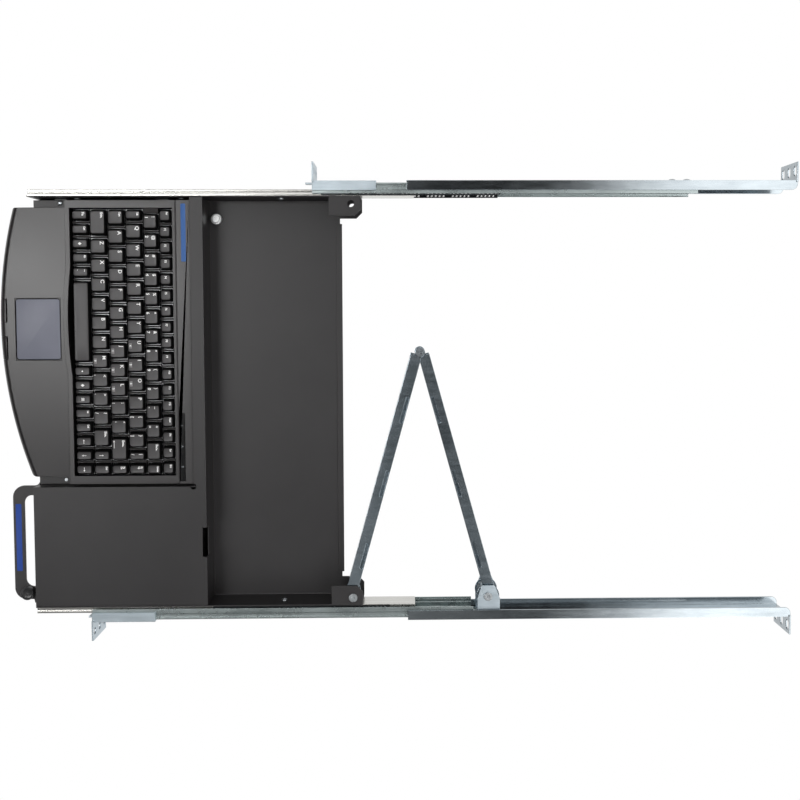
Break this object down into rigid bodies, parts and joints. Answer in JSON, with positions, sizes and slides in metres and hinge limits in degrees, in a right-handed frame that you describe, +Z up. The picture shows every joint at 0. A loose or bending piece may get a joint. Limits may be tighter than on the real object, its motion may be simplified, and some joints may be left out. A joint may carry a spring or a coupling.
{
  "type": "rack keyboard drawer",
  "caption": "Pull-out keyboard drawer for a 19 inch rack: sheet tray on ball slides with keyboard, touchpad, mouse platform, handle, adjustable rails and a folding cable arm.",
  "frame": {"origin": "centre of the bounding box at its lowest plane", "axes": "+Y from the user towards the rear of the rack, +Z up, +X to the user's right"},
  "size_m": [0.4826, 0.806, 0.0436],
  "materials": {
    "black_sheet": "satin black powder coat",
    "bright_slide": "bright zinc, drawn steel",
    "grey_slide": "grey zinc plate",
    "blue_zinc": "bluish zinc plate",
    "dark_zinc": "dark zinc plate",
    "bright_rivet": "bright plated",
    "plain_screw": "plain zinc plate",
    "ball_steel": "polished",
    "knob_plastic": "moulded",
    "case_plastic": "fine textured charcoal",
    "frame_plastic": "moulded",
    "key_plastic": "moulded with white legends",
    "inner_steel": "bare plated sheet",
    "membrane_rubber": "moulded silicone",
    "board": "green circuit board",
    "window": "black tinted",
    "pad": "smooth grey"
  },
  "bodies": {
    "right_rail": {"right_slide_outer": "grey_slide", "right_front_bracket": "blue_zinc", "right_bracket_rivets": "bright_rivet", "right_clamp_bolts": "plain_screw", "right_clamp_nuts": "plain_screw", "cable_arm_bracket": "blue_zinc", "arm_bracket_rivets": "bright_rivet", "bracket_pivot_pin": "bright_rivet"},
    "right_rear": {"right_rear_channel": "dark_zinc"},
    "drawer": {"tray": "black_sheet", "deck": "black_sheet", "keyboard_shelf": "black_sheet", "deck_screws": "plain_screw", "shelf_rivets": "bright_rivet", "cable_stud": "plain_screw", "handle": "black_sheet", "handle_screws": "plain_screw", "slide_screws": "plain_screw", "left_slide_inner": "bright_slide", "right_slide_inner": "bright_slide", "arm_pivot_pin": "bright_rivet", "keyboard_bottom_case": "case_plastic", "keyboard_top_case": "case_plastic", "key_frame": "frame_plastic", "key_plate": "inner_steel", "membrane": "membrane_rubber", "backing_plate": "inner_steel", "controller_board": "board", "indicator_window": "window", "touchpad": "pad", "keyboard_screws": "plain_screw"},
    "right_cage": {"right_ball_cage": "inner_steel", "right_balls": "ball_steel"},
    "left_rail": {"left_slide_outer": "grey_slide", "left_front_bracket": "blue_zinc", "left_bracket_rivets": "bright_rivet", "left_clamp_bolts": "plain_screw", "left_clamp_nuts": "plain_screw"},
    "left_cage": {"left_ball_cage": "inner_steel", "left_balls": "ball_steel"},
    "left_rear": {"left_rear_channel": "dark_zinc"},
    "arm_front": {"cable_arm_front": "blue_zinc", "elbow_pin": "plain_screw"},
    "arm_rear": {"cable_arm_rear": "blue_zinc"},
    "knob": {"lock_knob": "knob_plastic"},
    "left_click": {"left_click_button": "case_plastic"},
    "right_click": {"right_click_button": "case_plastic"},
    "key_row_1_body": {"key_row_1": "key_plastic"},
    "key_row_2_body": {"key_row_2": "key_plastic"},
    "key_row_3_body": {"key_row_3": "key_plastic"},
    "key_row_4_body": {"key_row_4": "key_plastic"},
    "key_row_5_body": {"key_row_5": "key_plastic"},
    "key_row_6_body": {"key_row_6": "key_plastic"},
    "space_bar_body": {"space_bar": "key_plastic"},
    "enter_key_body": {"enter_key": "key_plastic"},
    "backspace_key_body": {"backspace_key": "key_plastic"},
    "left_shift_key_body": {"left_shift_key": "key_plastic"},
    "right_shift_key_body": {"right_shift_key": "key_plastic"}
  },
  "joints": [
    {"name": "drawer_slide", "type": "slide", "parent": "right_rail", "child": "drawer", "axis": [0, -1, 0], "range_m": [-0.057, 0.2266]},
    {"name": "right_depth", "type": "slide", "parent": "right_rail", "child": "right_rear", "axis": [0, -1, 0], "range_m": [0, 0.215]},
    {"name": "right_cage_slide", "type": "slide", "parent": "right_rail", "child": "right_cage", "axis": [0, -1, 0], "range_m": [-0.0285, 0.1133]},
    {"name": "left_rail_slide", "type": "slide", "parent": "drawer", "child": "left_rail", "axis": [0, -1, 0], "range_m": [0, 0.2836]},
    {"name": "left_cage_slide", "type": "slide", "parent": "drawer", "child": "left_cage", "axis": [0, -1, 0], "range_m": [0, 0.1418]},
    {"name": "left_depth", "type": "slide", "parent": "left_rail", "child": "left_rear", "axis": [0, 1, 0], "range_m": [0, 0.215]},
    {"name": "arm_front_pivot", "type": "hinge", "parent": "drawer", "child": "arm_front", "pos_m": [0.2002, -0.047, 0.022], "axis": [0, 0, 1], "range_deg": [-28.28, 7.15]},
    {"name": "arm_elbow", "type": "hinge", "parent": "arm_front", "child": "arm_rear", "pos_m": [-0.05042, 0.0222, 0.022], "axis": [0, 0, 1], "range_deg": [-14.25, 56.52]},
    {"name": "knob_turn", "type": "hinge", "parent": "drawer", "child": "knob", "pos_m": [0.1974, -0.3829, 0.021], "axis": [0, 0, 1], "continuous": true},
    {"name": "left_click_press", "type": "slide", "parent": "drawer", "child": "left_click", "axis": [0, 0, -1], "range_m": [0, 0.0008], "stiffness_N_per_m": 500, "springref_m": -0.001},
    {"name": "right_click_press", "type": "slide", "parent": "drawer", "child": "right_click", "axis": [0, 0, -1], "range_m": [0, 0.0008], "stiffness_N_per_m": 500, "springref_m": -0.001},
    {"name": "key_row_1_press", "type": "slide", "parent": "drawer", "child": "key_row_1_body", "axis": [0, 0, -1], "range_m": [0, 0.003], "stiffness_N_per_m": 400, "springref_m": -0.003},
    {"name": "key_row_2_press", "type": "slide", "parent": "drawer", "child": "key_row_2_body", "axis": [0, 0, -1], "range_m": [0, 0.003], "stiffness_N_per_m": 400, "springref_m": -0.003},
    {"name": "key_row_3_press", "type": "slide", "parent": "drawer", "child": "key_row_3_body", "axis": [0, 0, -1], "range_m": [0, 0.003], "stiffness_N_per_m": 400, "springref_m": -0.003},
    {"name": "key_row_4_press", "type": "slide", "parent": "drawer", "child": "key_row_4_body", "axis": [0, 0, -1], "range_m": [0, 0.003], "stiffness_N_per_m": 400, "springref_m": -0.003},
    {"name": "key_row_5_press", "type": "slide", "parent": "drawer", "child": "key_row_5_body", "axis": [0, 0, -1], "range_m": [0, 0.003], "stiffness_N_per_m": 400, "springref_m": -0.003},
    {"name": "key_row_6_press", "type": "slide", "parent": "drawer", "child": "key_row_6_body", "axis": [0, 0, -1], "range_m": [0, 0.003], "stiffness_N_per_m": 400, "springref_m": -0.003},
    {"name": "space_bar_press", "type": "slide", "parent": "drawer", "child": "space_bar_body", "axis": [0, 0, -1], "range_m": [0, 0.003], "stiffness_N_per_m": 150, "springref_m": -0.003},
    {"name": "enter_key_press", "type": "slide", "parent": "drawer", "child": "enter_key_body", "axis": [0, 0, -1], "range_m": [0, 0.003], "stiffness_N_per_m": 150, "springref_m": -0.003},
    {"name": "backspace_key_press", "type": "slide", "parent": "drawer", "child": "backspace_key_body", "axis": [0, 0, -1], "range_m": [0, 0.003], "stiffness_N_per_m": 150, "springref_m": -0.003},
    {"name": "left_shift_key_press", "type": "slide", "parent": "drawer", "child": "left_shift_key_body", "axis": [0, 0, -1], "range_m": [0, 0.003], "stiffness_N_per_m": 150, "springref_m": -0.003},
    {"name": "right_shift_key_press", "type": "slide", "parent": "drawer", "child": "right_shift_key_body", "axis": [0, 0, -1], "range_m": [0, 0.003], "stiffness_N_per_m": 150, "springref_m": -0.003}
  ],
  "couplings": [
    {"joint": "right_cage_slide", "follows": "drawer_slide", "ratio": 0.5},
    {"joint": "arm_front_pivot", "follows": "drawer_slide", "rad_per_m": -2.1747},
    {"joint": "arm_elbow", "follows": "drawer_slide", "rad_per_m": 4.3494},
    {"joint": "left_cage_slide", "follows": "left_rail_slide", "ratio": 0.5}
  ]
}
